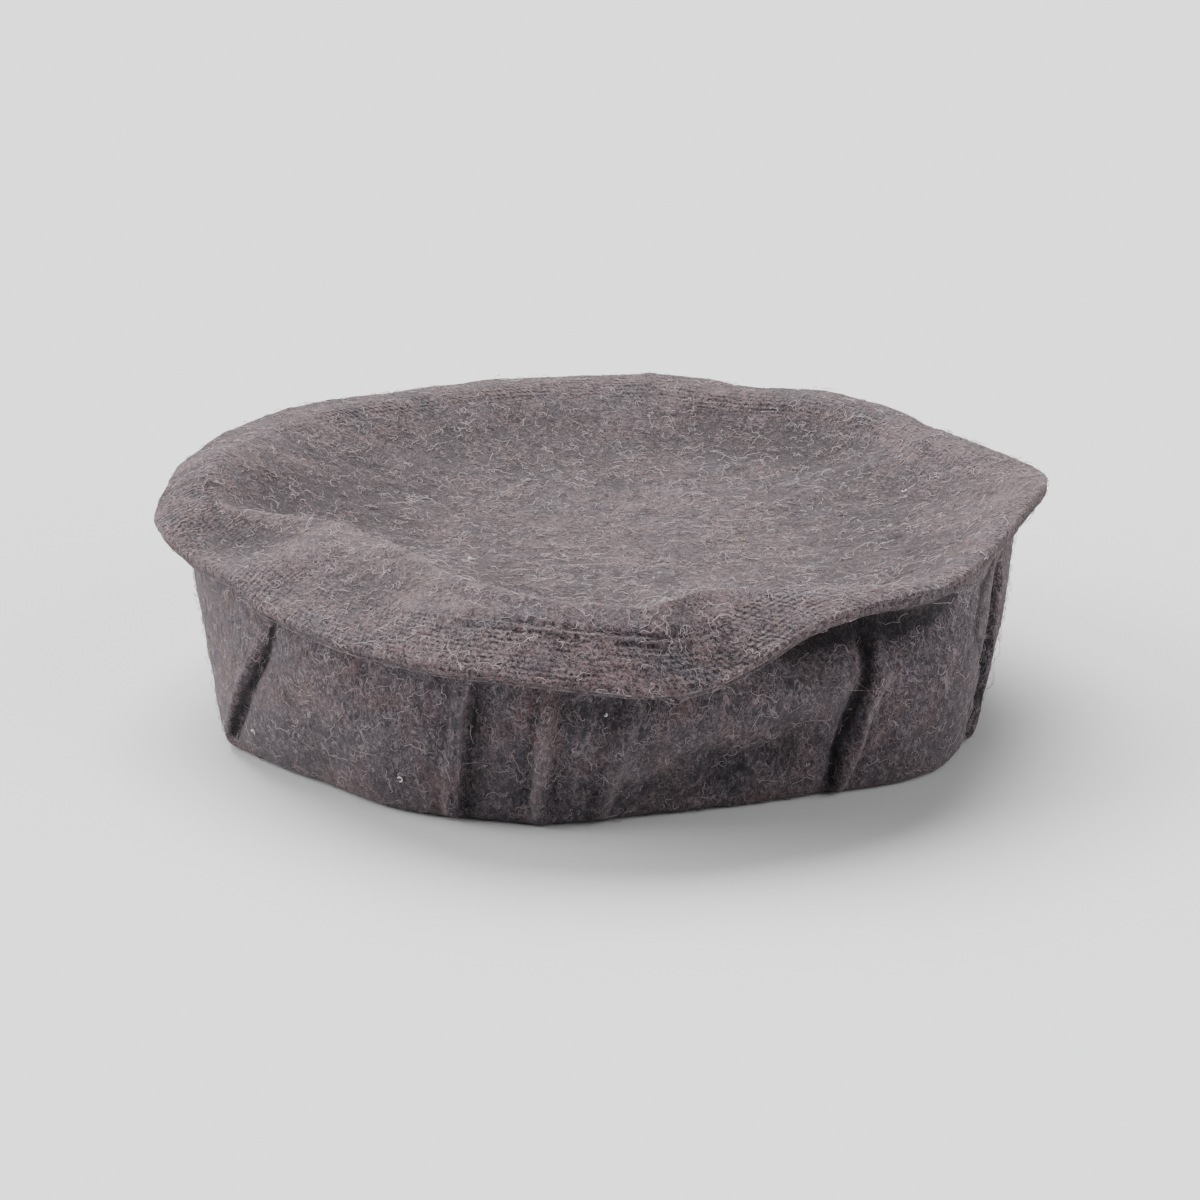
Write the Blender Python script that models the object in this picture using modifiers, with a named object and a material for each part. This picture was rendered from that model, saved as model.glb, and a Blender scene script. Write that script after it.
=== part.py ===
"""A soft round wool cap: a dished crown disc seamed to a side band that is shaped by tucks.

Both pieces are cut from one hand-fulled wool cloth. The crown is a round piece. The side band
is a long strip: its top edge is turned outward and stitched under the crown as a stiff rim,
stitched tucks narrow it on the way down, and its foot is folded under and up inside as a lap.

Heights are above the surface that the cap stands on. Azimuths are in degrees from +X towards
+Y, so -90 is the front. The tables are in millimetres, and the model is in metres.
"""

from collections import namedtuple

import bpy
import numpy as np

MM = 0.001

# The cloth, and the seam where its two layers meet
CLOTH = 1.8 * MM
LAYER_GAP = 0.6 * MM
CUT_EDGE_ROUND = 0.5 * MM
CUT_EDGE_ANGLE = 60.0

# The crown's dish: its floor, how late it starts to climb, and how softly it turns over
DISH_FLOOR = 43.0 * MM
DISH_POWER = 4.2
CREST_ROUNDING = 3.0 * MM

# The rim, once round. radius and height place its outer edge. The crest is where the dish
# turns over into the rim: width in from the edge, and rise above it. overhang is how far the
# edge stands out past the top of the side band.
Rim = namedtuple("Rim", "azimuth radius height width rise overhang")
RIM = (
    Rim(-171, 125.4, 56.0, 20, 5, 9),
    Rim(-163, 121, 53.5, 32, 8, 5),
    Rim(-154, 118, 53.0, 38, 9, 3),
    Rim(-142, 118, 51.5, 40, 11, 3),
    Rim(-130, 119, 50.0, 38, 13, 5),
    Rim(-116, 121, 49.0, 31, 14, 9),
    Rim(-103, 121, 48.0, 24, 15, 10),
    Rim(-91, 121, 46.0, 21, 16, 10),
    Rim(-83, 122, 44.5, 20, 18, 11),
    Rim(-77, 121.5, 45.5, 25, 19, 13),
    Rim(-71, 119.5, 51.0, 26, 12, 15),
    Rim(-65, 118, 56.5, 20, 6, 16),
    Rim(-56, 118, 60.0, 12, 3, 16),
    Rim(-48, 119, 60.0, 8, 1, 13),
    Rim(-40, 120, 59.0, 7, 1, 7),
    Rim(-30, 118, 61.0, 6, 1, 3),
    Rim(-19, 117, 62.0, 8, 0, 3),
    Rim(-7, 118.5, 61.5, 11, -1, 5),
    Rim(4, 125, 60.0, 14, -1, 9.5),
    Rim(14, 123, 57.5, 14, 0, 9),
    Rim(27, 119, 56.0, 13, 1, 9),
    Rim(44, 122, 55.5, 12, 1, 10),
    Rim(57, 123, 56.0, 12, 1, 10),
    Rim(70, 118.5, 54.5, 11, 2, 8),
    Rim(79, 120.7, 57.0, 12, 1, 9),
    Rim(100, 120.3, 56.0, 12, 1, 9),
    Rim(121, 120.5, 56.0, 12, 2, 9),
    Rim(137, 122, 59.0, 13, 1, 9),
    Rim(155, 123.5, 59.0, 16, 3, 9),
    Rim(175, 124, 58.0, 16, 4, 9),
)

# Folds and dents in the crown: a stroke from one point to another, half as wide as width,
# that lifts the cloth by rise or, where rise is negative, sinks it.
Crease = namedtuple("Crease", "azimuth radius to_azimuth to_radius width rise")
CREASES = (
    Crease(-172, 121, 172, 112, 9, 2.5),
    Crease(172, 112, 162, 99, 9, 2.5),
    Crease(-167, 109, -157, 101, 9, -4.5),
    Crease(-149, 121, -153, 92, 7, 2.5),
    Crease(-141, 97, -126, 100, 10, -2.5),
    Crease(-74, 114, -73, 101, 6, -2.5),
    Crease(46, 92, 70, 90, 13, -3.0),
    Crease(12, 116, 14, 104, 6, -1.5),
    Crease(-34, 100, -22, 96, 10, -1.5),
)

# The foot of the side band, once round: the outside of its fold
Foot = namedtuple("Foot", "azimuth radius")
FOOT = (
    Foot(-176, 108),
    Foot(-155, 114),
    Foot(-134, 107.5),
    Foot(-122, 110),
    Foot(-110, 106.5),
    Foot(-97, 104.5),
    Foot(-85, 98.5),
    Foot(-67, 98),
    Foot(-53, 102),
    Foot(-38, 113),
    Foot(-25, 109),
    Foot(-5, 106),
    Foot(25, 106),
    Foot(60, 103),
    Foot(90, 102),
    Foot(120, 103),
    Foot(155, 104),
)

# Stitched tucks in the side band, each a raised rib with a groove on one side or both. A tuck
# leans, so it has one azimuth under the rim and another at the foot.
Tuck = namedtuple("Tuck", "top foot proud groove_before groove_after")
TUCKS = (
    Tuck(-141, -155.5, 1.2, 0.0, 4.0),
    Tuck(-109, -112.5, 2.2, 0.2, 3.2),
    Tuck(-97, -100, 2.0, 1.2, 1.2),
    Tuck(-84.5, -91, 1.8, 1.0, 0.6),
    Tuck(-45.5, -53, 2.2, 4.0, 0.4),
    Tuck(-20, -24, 1.8, 3.6, 0.6),
    Tuck(31, 29, 1.8, 0.8, 0.8),
    Tuck(86, 85, 1.8, 0.8, 0.8),
    Tuck(140, 142, 1.8, 0.8, 0.8),
)
# A rib's columns, as distances across it, and the share of its height or groove at each
RIB_ACROSS = (-6.0, -3.2, -1.5, 0.0, 1.5, 3.2, 6.0)
RIB_SHARE = (0.0, -1.0, 0.6, 1.0, 0.6, -1.0, 0.0)

# Soft folds in the side band: strokes like the crown's, from one azimuth and height to another
Drape = namedtuple("Drape", "azimuth height to_azimuth to_height width proud")
DRAPES = (
    Drape(-88, 23, -70, 29, 4.5, 4.5),
    Drape(-70, 29, -50, 39, 4.5, 6.0),
    Drape(-68, 47, -48, 50, 7, -6.0),
    Drape(-80, 12, -56, 18, 7, -2.5),
    Drape(-89, 23, -91, 8, 5, 1.5),
    Drape(-33, 30, -33, 12, 8, 1.5),
    Drape(-104, 30, -104, 8, 5, -1.5),
    Drape(-128, 30, -128, 10, 9, 1.5),
)

# The band's fold at the foot, and its lap inside
FOLD_RISE = 4.0 * MM
REST_NEAR = 3.5 * MM
REST_FAR = 7.5 * MM
LAP_INSET = 11.0 * MM
LAP_TOP = 30.0 * MM
WALL_BELLY = 1.5 * MM
ROOT_TURN = 2.6 * MM
GROOVE_AT_FOOT = 0.4

# How finely the pieces are divided. The crown's rings are shares of the way out to the bend
# where the dish turns over, and its rim's are shares of the overhang.
MEAN_RADIUS = 110.0 * MM
FILL_SPACING = 11.0 * MM
BEND_INSIDE = 5.0 * MM
RIM_SHARES = (1 / 3, 2 / 3, 1.0)
DISH_SHARES = (0.3, 0.55, 0.75, 0.9, 1.0)
WALL_SHARES = (0.8, 0.57, 0.34, 0.15)

# Wool cloth: dark brown-grey, dull, not metal
WOOL_COLOUR = (0.085, 0.068, 0.066, 1.0)
WOOL_ROUGHNESS = 0.95


def around(rows, column):
    """A smooth curve through one column of a table that goes once round, in its own units."""
    turn = 360.0
    knots = np.array([row.azimuth for row in rows], float)
    values = np.array([getattr(row, column) for row in rows], float)
    order = np.argsort(knots)
    knots, values = knots[order], values[order]
    knots = np.concatenate([knots[-2:] - turn, knots, knots[:2] + turn])
    values = np.concatenate([values[-2:], values, values[:2]])
    slopes = np.gradient(values, knots)

    def at(azimuth):
        wrapped = (np.asarray(azimuth, float) - knots[1]) % turn + knots[1]
        i = np.clip(np.searchsorted(knots, wrapped, side="right") - 1, 0, len(knots) - 2)
        span = knots[i + 1] - knots[i]
        t = (wrapped - knots[i]) / span
        return (
            (1 + 2 * t) * (1 - t) ** 2 * values[i]
            + t * (1 - t) ** 2 * span * slopes[i]
            + t * t * (3 - 2 * t) * values[i + 1]
            - t * t * (1 - t) * span * slopes[i + 1]
        )

    return at


rim_radius = around(RIM, "radius")
rim_height = around(RIM, "height")
rim_width = around(RIM, "width")
rim_rise = around(RIM, "rise")
rim_overhang = around(RIM, "overhang")
foot_radius = around(FOOT, "radius")


def stroke(x, y, start, end, width):
    """1 on the line from start to end, fading smoothly to nothing about two widths away."""
    run = np.subtract(end, start)
    along = ((x - start[0]) * run[0] + (y - start[1]) * run[1]) / max(run @ run, 1e-12)
    along = np.clip(along, 0, 1)
    away = np.hypot(x - start[0] - along * run[0], y - start[1] - along * run[1])
    return np.exp(-((away / width) ** 2))


def polar(azimuth, radius):
    return radius * np.cos(np.radians(azimuth)), radius * np.sin(np.radians(azimuth))


def crown_height(x, y):
    """Height of the crown's upper face, in metres, above a point of the plan."""
    azimuth = np.degrees(np.arctan2(y, x))
    radius = np.hypot(x, y)
    crest_radius = (rim_radius(azimuth) - rim_width(azimuth)) * MM
    crest_height = (rim_height(azimuth) + rim_rise(azimuth)) * MM
    climb = (radius / crest_radius) ** DISH_POWER
    dish = DISH_FLOOR + (crest_height - DISH_FLOOR) * climb
    slope = rim_rise(azimuth) / rim_width(azimuth)
    rim = crest_height - (radius - crest_radius) * slope
    share = np.clip(0.5 + 0.5 * (rim - dish) / CREST_ROUNDING, 0, 1)
    height = rim + (dish - rim) * share - CREST_ROUNDING * share * (1 - share)
    for crease in CREASES:
        start = np.array(polar(crease.azimuth, crease.radius)) * MM
        end = np.array(polar(crease.to_azimuth, crease.to_radius)) * MM
        height = height + crease.rise * MM * stroke(x, y, start, end, crease.width * MM)
    return height


def under_crown(azimuth, radius, depth):
    """The point that lies depth below the crown's upper face, measured square to it."""
    x, y = polar(azimuth, radius)
    step = 0.5 * MM
    height = crown_height(x, y)
    tilt_x = (crown_height(x + step, y) - crown_height(x - step, y)) / (2 * step)
    tilt_y = (crown_height(x, y + step) - crown_height(x, y - step)) / (2 * step)
    length = np.sqrt(1 + tilt_x**2 + tilt_y**2)
    return np.stack(
        [x + depth * tilt_x / length, y + depth * tilt_y / length, height - depth / length],
        axis=-1,
    )


def columns():
    """The azimuths that both pieces are divided at, under the rim and at the foot, and each
    column's share of its tuck: (top, foot, rib), with rib in metres."""
    tops, feet, ribs = [], [], []
    to_degrees = np.degrees(MM / MEAN_RADIUS)
    for index, tuck in enumerate(TUCKS):
        following = TUCKS[(index + 1) % len(TUCKS)]
        for across, share in zip(RIB_ACROSS, RIB_SHARE):
            groove = tuck.groove_before if across < 0 else tuck.groove_after
            tops.append(tuck.top + across * to_degrees)
            feet.append(tuck.foot + across * to_degrees)
            ribs.append((tuck.proud if share > 0 else groove) * share * MM)
        next_top = following.top + RIB_ACROSS[0] * to_degrees
        next_foot = following.foot + RIB_ACROSS[0] * to_degrees
        top_run = (next_top - tops[-1]) % 360
        foot_run = (next_foot - feet[-1]) % 360
        fill = round(np.radians(top_run) * MEAN_RADIUS / FILL_SPACING)
        for step in range(1, fill):
            tops.append(tops[-1] + top_run / fill)
            feet.append(feet[-1] + foot_run / fill)
            ribs.append(0.0)
    return np.array(tops), np.array(feet), np.array(ribs)


def crown_rings(tops):
    """The rings of the crown's upper face, from its middle, a single point, out to its edge."""
    edge = rim_radius(tops) * MM
    overhang = rim_overhang(tops) * MM
    root = edge - overhang
    bend = np.minimum(edge - rim_width(tops) * MM, root - BEND_INSIDE)
    rings = [np.array([[0, 0, DISH_FLOOR]])]
    rings += [under_crown(tops, bend * share, 0) for share in DISH_SHARES]
    rings.append(under_crown(tops, (bend + root) / 2, 0))
    rings += [under_crown(tops, edge - overhang * share, 0) for share in reversed(RIM_SHARES)]
    rings.append(under_crown(tops, edge, 0))
    return rings


def band_rings(tops, feet, ribs):
    """The side band's rings, round its closed section: out under the crown, over the rim's
    edge, in, down the outside, under the foot, up and down the lap, and up the inside."""
    edge = rim_radius(tops) * MM
    overhang = rim_overhang(tops) * MM
    foot = foot_radius(feet) * MM
    upper_face = CLOTH + LAYER_GAP
    lower_face = upper_face + CLOTH
    root = edge - overhang
    root_height = under_crown(tops, root, lower_face)[:, 2] - ROOT_TURN
    inner_height = under_crown(tops, root - CLOTH, upper_face)[:, 2] - ROOT_TURN

    def wall(share, inset, rib):
        """A ring of the wall: share 0 is the top of the fold at the foot, 1 is the root."""
        azimuth = feet + (tops - feet) * share
        height = FOLD_RISE + (root_height - FOLD_RISE) * share
        radius = foot + (root - foot) * share + WALL_BELLY * np.sin(np.pi * share)
        for drape in DRAPES:
            start = (np.radians(drape.azimuth) * MEAN_RADIUS, drape.height * MM)
            end = (np.radians(drape.to_azimuth) * MEAN_RADIUS, drape.to_height * MM)
            turned = np.radians((azimuth + 180) % 360 - 180) * MEAN_RADIUS
            on = stroke(turned, height, start, end, drape.width * MM)
            radius = radius + drape.proud * MM * on * np.sin(np.pi * share) ** 0.5
        x, y = polar(azimuth, radius - inset + rib)
        return np.stack([x, y, height], axis=-1)

    def base(inset, height, rib=0.0):
        """A ring near the foot, inset from the outside of its fold."""
        x, y = polar(feet, foot - inset + rib)
        return np.stack([x, y, np.full_like(x, height)], axis=-1)

    def turned_root(inset, height):
        x, y = polar(tops, root - inset)
        return np.stack([x, y, height], axis=-1)

    grooves = np.minimum(ribs, 0)
    foot_grooves = GROOVE_AT_FOOT * grooves
    foot_ribs = np.maximum(ribs, 0) + foot_grooves
    rim_in = [share for share in RIM_SHARES if share < 1]
    outside = [
        under_crown(tops, edge - CLOTH / 2, upper_face),
        under_crown(tops, edge, upper_face + CLOTH / 2),
        under_crown(tops, edge - CLOTH / 2, lower_face),
        *[under_crown(tops, edge - overhang * share, lower_face) for share in rim_in],
        turned_root(0, root_height),
        *[wall(share, 0, ribs) for share in WALL_SHARES],
        base(0, FOLD_RISE, foot_ribs),
        base(1.0 * MM, 0.3 * FOLD_RISE, 0.6 * foot_ribs),
        base(REST_NEAR, 0),
        base(REST_FAR, 0),
        base(LAP_INSET - 1.0 * MM, 0.3 * FOLD_RISE),
        base(LAP_INSET, FOLD_RISE),
        base(LAP_INSET, LAP_TOP - CLOTH / 2),
    ]
    inside = [
        base(LAP_INSET - CLOTH / 2, LAP_TOP),
        base(LAP_INSET - CLOTH, LAP_TOP - CLOTH / 2),
        base(LAP_INSET - CLOTH, FOLD_RISE + 0.4 * MM),
        base(REST_FAR, CLOTH),
        base(REST_NEAR, CLOTH),
        base(CLOTH, FOLD_RISE + 0.4 * MM, foot_grooves),
        *[wall(share, CLOTH, grooves) for share in reversed(WALL_SHARES)],
        turned_root(CLOTH, inner_height),
        *[under_crown(tops, edge - overhang * share, upper_face) for share in reversed(rim_in)],
    ]
    return outside + inside


def loft(name, rings, closed):
    """A mesh object with faces between each ring and the next. A ring of one point closes the
    middle, and closed joins the last ring to the first."""
    points, starts = [], []
    for ring in rings:
        starts.append(len(points))
        points.extend(ring.tolist())
    around_count = max(len(ring) for ring in rings)
    pairs = list(zip(range(len(rings)), range(1, len(rings))))
    if closed:
        pairs.append((len(rings) - 1, 0))
    faces = []
    for near, far in pairs:
        for i in range(around_count):
            j = (i + 1) % around_count
            a = starts[near] + (i if len(rings[near]) > 1 else 0)
            b = starts[near] + (j if len(rings[near]) > 1 else 0)
            c = starts[far] + (j if len(rings[far]) > 1 else 0)
            d = starts[far] + (i if len(rings[far]) > 1 else 0)
            faces.append(tuple(dict.fromkeys((a, d, c, b))))
    mesh = bpy.data.meshes.new(name)
    mesh.from_pydata(points, [], faces)
    mesh.validate()
    mesh.shade_smooth()
    return bpy.data.objects.new(name, mesh)


def thicken(piece):
    """Gives an open surface, which is the upper face, the cloth's thickness below it."""
    solidify = piece.modifiers.new("cloth", "SOLIDIFY")
    solidify.thickness = CLOTH
    solidify.offset = -1.0
    solidify.use_even_offset = True
    solidify.use_quality_normals = True
    bevel = piece.modifiers.new("cut_edge", "BEVEL")
    bevel.width = CUT_EDGE_ROUND
    bevel.segments = 1
    bevel.limit_method = "ANGLE"
    bevel.angle_limit = np.radians(CUT_EDGE_ANGLE)


def wool():
    material = bpy.data.materials.new("fulled_wool")
    material.use_nodes = True
    shader = material.node_tree.nodes["Principled BSDF"]
    shader.inputs["Base Color"].default_value = WOOL_COLOUR
    shader.inputs["Roughness"].default_value = WOOL_ROUGHNESS
    shader.inputs["Metallic"].default_value = 0.0
    return material


def main():
    for obj in list(bpy.data.objects):
        bpy.data.objects.remove(obj)
    collection = bpy.data.collections.new("wool_cap")
    bpy.context.scene.collection.children.link(collection)

    tops, feet, ribs = columns()
    crown = loft("crown", crown_rings(tops), closed=False)
    thicken(crown)
    side_band = loft("side_band", band_rings(tops, feet, ribs), closed=True)
    cloth = wool()
    for piece in (crown, side_band):
        piece.data.materials.append(cloth)
        collection.objects.link(piece)


main()
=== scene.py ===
"""The look of a soft round wool cap: fulled cloth, tucked band, quilted rim and loose hairs."""

import math
from collections import namedtuple

import bmesh
import bpy
import numpy as np
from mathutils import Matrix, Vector, kdtree, noise


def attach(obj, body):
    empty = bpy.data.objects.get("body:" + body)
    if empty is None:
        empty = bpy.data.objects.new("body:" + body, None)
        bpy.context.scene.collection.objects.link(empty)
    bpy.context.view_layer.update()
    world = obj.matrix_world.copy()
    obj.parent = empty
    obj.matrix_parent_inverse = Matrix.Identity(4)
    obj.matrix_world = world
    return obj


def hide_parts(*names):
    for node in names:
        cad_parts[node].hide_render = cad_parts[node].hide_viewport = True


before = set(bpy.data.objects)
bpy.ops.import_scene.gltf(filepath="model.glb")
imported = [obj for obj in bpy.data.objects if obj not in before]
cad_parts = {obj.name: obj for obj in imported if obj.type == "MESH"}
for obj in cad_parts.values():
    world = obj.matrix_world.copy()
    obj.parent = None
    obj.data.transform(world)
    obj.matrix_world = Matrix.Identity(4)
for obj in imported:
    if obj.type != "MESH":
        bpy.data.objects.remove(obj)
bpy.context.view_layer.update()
MM = 0.001

# The cloth is one hand-fulled wool, woven from dark brown-grey yarn with paler hairs in it, and
# shrunk until the weave can't be seen. Its colour changes softly from slate grey to warm brown,
# and its surface is a mat of short curled fibres.
CLOTH_DARK = (0.010, 0.009, 0.012, 1.0)
CLOTH_SLATE = (0.048, 0.044, 0.056, 1.0)
CLOTH_WARM = (0.120, 0.073, 0.075, 1.0)
CLOTH_PALE = (0.29, 0.235, 0.25, 1.0)
CLOTH_NAP = 0.25 * MM
CLOTH_SHEEN = (0.85, 0.74, 0.74, 1.0)

# The cells of each pattern in a millimetre of cloth: patches of brown, clouds of light and dark,
# and the grain of single fibres. The paler fibres are lines, so wide in the noise that draws
# them, of which a share is kept.
BROWN_PATCHES = 0.075
CLOUDS = 0.22
GRAIN = 1.0
Fibres = namedtuple("Fibres", "per_mm width kept")
PALE_FIBRES = (Fibres(0.32, 0.022, 0.62), Fibres(0.55, 0.034, 0.6), Fibres(0.95, 0.055, 0.55))

# How strongly each of these shows. The darkening of folds and the loss of pale fibres in them
# are painted shade, and the paleness of ridges is a painted highlight.
MIDDLE_DEPTH = 0.28
CLOUD_DEPTH = 0.45
FOLD_SHADE_DEPTH = 0.75
FIBRE_PALENESS = 0.62
FIBRE_RELIEF = 0.5
FOLD_SHADE_FIBRE_LOSS = 0.75
RIDGE_HIGHLIGHT_PALENESS = 0.10
ROW_RELIEF = 3.2


def add_node(tree, kind, **settings):
    """A new node of a tree, with its settings."""
    node = tree.nodes.new(kind)
    for name, value in settings.items():
        setattr(node, name, value)
    return node


def feed(tree, socket, value):
    """Gives a socket a number, a colour or the output of another node."""
    if isinstance(value, bpy.types.NodeSocket):
        tree.links.new(value, socket)
    else:
        socket.default_value = value


def math_node(tree, operation, first, second=None, third=None):
    """The output of a Math node, whose inputs are numbers or other outputs."""
    node = add_node(tree, "ShaderNodeMath", operation=operation)
    for socket, value in zip(node.inputs, (first, second, third)):
        if value is not None:
            feed(tree, socket, value)
    return node.outputs[0]


def blend_colours(tree, share, first, second):
    """The output of a colour Mix node between two colours, by a share from 0 to 1."""
    node = add_node(tree, "ShaderNodeMix", data_type="RGBA")
    for number, value in ((0, share), (6, first), (7, second)):
        feed(tree, node.inputs[number], value)
    return node.outputs[2]


def held(tree, value):
    """A value held from 0 to 1."""
    return math_node(tree, "MINIMUM", math_node(tree, "MAXIMUM", value, 0.0), 1.0)


def cloth_noise(tree, place, per_mm, detail=2.0, distortion=0.0):
    """The value of a noise with so many cells in a millimetre of cloth."""
    node = add_node(tree, "ShaderNodeTexNoise")
    node.inputs["Scale"].default_value = per_mm / MM
    node.inputs["Detail"].default_value = detail
    node.inputs["Distortion"].default_value = distortion
    tree.links.new(place, node.inputs["Vector"])
    return node.outputs["Fac"]


def fibre_lines(tree, place, per_mm, width, kept):
    """A mask of thin curled lines, like fibres on the cloth, broken up so that a share is kept."""
    level = math_node(tree, "SUBTRACT", cloth_noise(tree, place, per_mm, 1.5, 1.2), 0.5)
    near = math_node(tree, "DIVIDE", math_node(tree, "ABSOLUTE", level), width)
    line = math_node(tree, "SUBTRACT", 1.0, math_node(tree, "MINIMUM", near, 1.0))
    patches = cloth_noise(tree, place, per_mm * 0.7, 1.0)
    shown = math_node(tree, "MULTIPLY_ADD", patches, 8.0, -8.0 * (1.0 - kept))
    return math_node(tree, "MULTIPLY", line, held(tree, shown))


def spread(tree, value, gain, middle):
    """A value from around 0.5, spread by a gain about a new middle, and held from 0 to 1."""
    node = add_node(tree, "ShaderNodeMath", operation="MULTIPLY_ADD", use_clamp=True)
    tree.links.new(value, node.inputs[0])
    node.inputs[1].default_value = gain
    node.inputs[2].default_value = middle - 0.5 * gain
    return node.outputs[0]


def wool_cloth(name, lengthwise, grit, warmth, with_rows):
    """The cloth's material. Its mottling is drawn out up the height where lengthwise is below 1,
    grit is how strongly light and dark fibres differ, and warmth is the share that is brown.
    Each piece tells it, by the attribute "hollow", where the cloth is folded in, where shade is
    painted: darker, with fewer pale fibres; and where it stands up in a ridge, where a highlight is
    painted pale. with_rows adds the quilting of the rim; its heights also go into the colour, as
    painted shade in the grooves and painted highlight on the bumps, and a little darker all over.
    """
    material = bpy.data.materials.new(name)
    material.use_nodes = True
    tree = material.node_tree
    shader = tree.nodes["Principled BSDF"]
    drawn_out = add_node(tree, "ShaderNodeMapping")
    drawn_out.inputs["Scale"].default_value = (1.0, 1.0, lengthwise)
    coordinates = add_node(tree, "ShaderNodeTexCoord").outputs["Object"]
    tree.links.new(coordinates, drawn_out.inputs["Vector"])
    place = drawn_out.outputs["Vector"]
    hollow = add_node(tree, "ShaderNodeAttribute", attribute_name="hollow").outputs["Fac"]
    warm = spread(tree, cloth_noise(tree, place, BROWN_PATCHES, 4.0, 0.8), 4.5, warmth)
    cloudy = spread(tree, cloth_noise(tree, place, CLOUDS, 4.0, 0.5), 2.0, 0.5)
    grain = cloth_noise(tree, place, GRAIN, 5.0, 1.0)
    lines = fibre_lines(tree, place, *PALE_FIBRES[0])
    for fibres in PALE_FIBRES[1:]:
        lines = math_node(tree, "MAXIMUM", lines, fibre_lines(tree, place, *fibres))
    depth = math_node(tree, "MULTIPLY_ADD", grain, grit, MIDDLE_DEPTH - 0.5 * grit)
    depth = math_node(tree, "ADD", depth, math_node(tree, "MULTIPLY", cloudy, CLOUD_DEPTH))
    relief = math_node(tree, "ADD", grain, math_node(tree, "MULTIPLY", lines, FIBRE_RELIEF))
    # The quilting's heights go into the colour too: painted shade in the grooves, painted highlight
    # on the bumps, and the quilted rim a little darker all over.
    if with_rows:
        rows = rim_rows(tree)
        relief = math_node(tree, "ADD", relief, math_node(tree, "MULTIPLY", rows, ROW_RELIEF))
        depth = math_node(tree, "ADD", depth, rows)
    # Painted shade in folds: where "hollow" is above 0, darker colour and fewer pale fibres.
    folded_in = math_node(tree, "MAXIMUM", hollow, 0.0)
    fold_shade_share = math_node(tree, "MINIMUM", folded_in, 1.0)
    fibres_left_in_shade = math_node(tree, "MULTIPLY_ADD", fold_shade_share, -FOLD_SHADE_FIBRE_LOSS, 1.0)
    lines = math_node(tree, "MULTIPLY", lines, fibres_left_in_shade)
    depth = math_node(tree, "SUBTRACT", depth, math_node(tree, "MULTIPLY", folded_in, FOLD_SHADE_DEPTH))
    depth = held(tree, depth)
    body = blend_colours(tree, warm, CLOTH_SLATE, CLOTH_WARM)
    colour = blend_colours(tree, depth, CLOTH_DARK, body)
    # Painted highlight on ridges: where "hollow" is below 0, the colour is made paler.
    ridge = math_node(tree, "MAXIMUM", math_node(tree, "MULTIPLY", hollow, -1.0), 0.0)
    ridge_highlight = math_node(tree, "MULTIPLY", ridge, RIDGE_HIGHLIGHT_PALENESS)
    paleness = math_node(tree, "MULTIPLY_ADD", lines, FIBRE_PALENESS, ridge_highlight)
    colour = blend_colours(tree, math_node(tree, "MINIMUM", paleness, 1.0), colour, CLOTH_PALE)
    tree.links.new(colour, shader.inputs["Base Color"])
    bump = add_node(tree, "ShaderNodeBump")
    bump.inputs["Strength"].default_value = 0.9
    bump.inputs["Distance"].default_value = CLOTH_NAP
    tree.links.new(relief, bump.inputs["Height"])
    tree.links.new(bump.outputs["Normal"], shader.inputs["Normal"])
    shader.inputs["Roughness"].default_value = 1.0
    shader.inputs["Specular IOR Level"].default_value = 0.15
    shader.inputs["Sheen Weight"].default_value = 0.2
    shader.inputs["Sheen Roughness"].default_value = 0.6
    shader.inputs["Sheen Tint"].default_value = CLOTH_SHEEN
    return material


# The rim is quilted: rows of stitching run round it side by side, and the cloth stands up in
# little slanted bumps between them, like knitting.
ROW_SPACING = 1.7 * MM
BUMP_SPACING = 2.0 * MM
ROW_HEIGHT = 0.17
BUMP_HEIGHT = 0.20
ROW_SWAY = 4.0 * MM
QUILTED_WIDTH = 19.0 * MM
QUILTING_FADE = 2.0 * MM
RIM_DARKER = 0.12


def rim_rows(tree):
    """The height of the quilting's bumps, from the crown's attributes, 0 away from the rim."""
    inward = add_node(tree, "ShaderNodeAttribute", attribute_name="from_edge").outputs["Fac"]
    along = add_node(tree, "ShaderNodeAttribute", attribute_name="along_edge").outputs["Fac"]
    place = add_node(tree, "ShaderNodeTexCoord").outputs["Object"]
    wander = cloth_noise(tree, place, 0.25, 3.0)
    sway = math_node(tree, "MULTIPLY_ADD", wander, ROW_SWAY, -0.5 * ROW_SWAY)
    inward_swayed = math_node(tree, "ADD", inward, math_node(tree, "MULTIPLY", sway, 0.45))
    along_swayed = math_node(tree, "ADD", along, sway)
    row_turns = 2 * math.pi / ROW_SPACING
    rows = math_node(tree, "SINE", math_node(tree, "MULTIPLY", inward_swayed, row_turns))
    slant = math_node(tree, "MULTIPLY", inward_swayed, row_turns * 0.5)
    phase = math_node(tree, "MULTIPLY_ADD", along_swayed, 2 * math.pi / BUMP_SPACING, slant)
    bumps = math_node(tree, "MULTIPLY", math_node(tree, "SINE", phase), BUMP_HEIGHT)
    height = math_node(tree, "MULTIPLY_ADD", rows, ROW_HEIGHT, bumps)
    worn = spread(tree, cloth_noise(tree, place, 0.12, 2.0), 3.0, 0.65)
    height = math_node(tree, "SUBTRACT", math_node(tree, "MULTIPLY", height, worn), RIM_DARKER)
    to_border = math_node(tree, "SUBTRACT", QUILTED_WIDTH, inward)
    fade = held(tree, math_node(tree, "DIVIDE", to_border, QUILTING_FADE))
    return math_node(tree, "MULTIPLY", height, fade)


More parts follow.
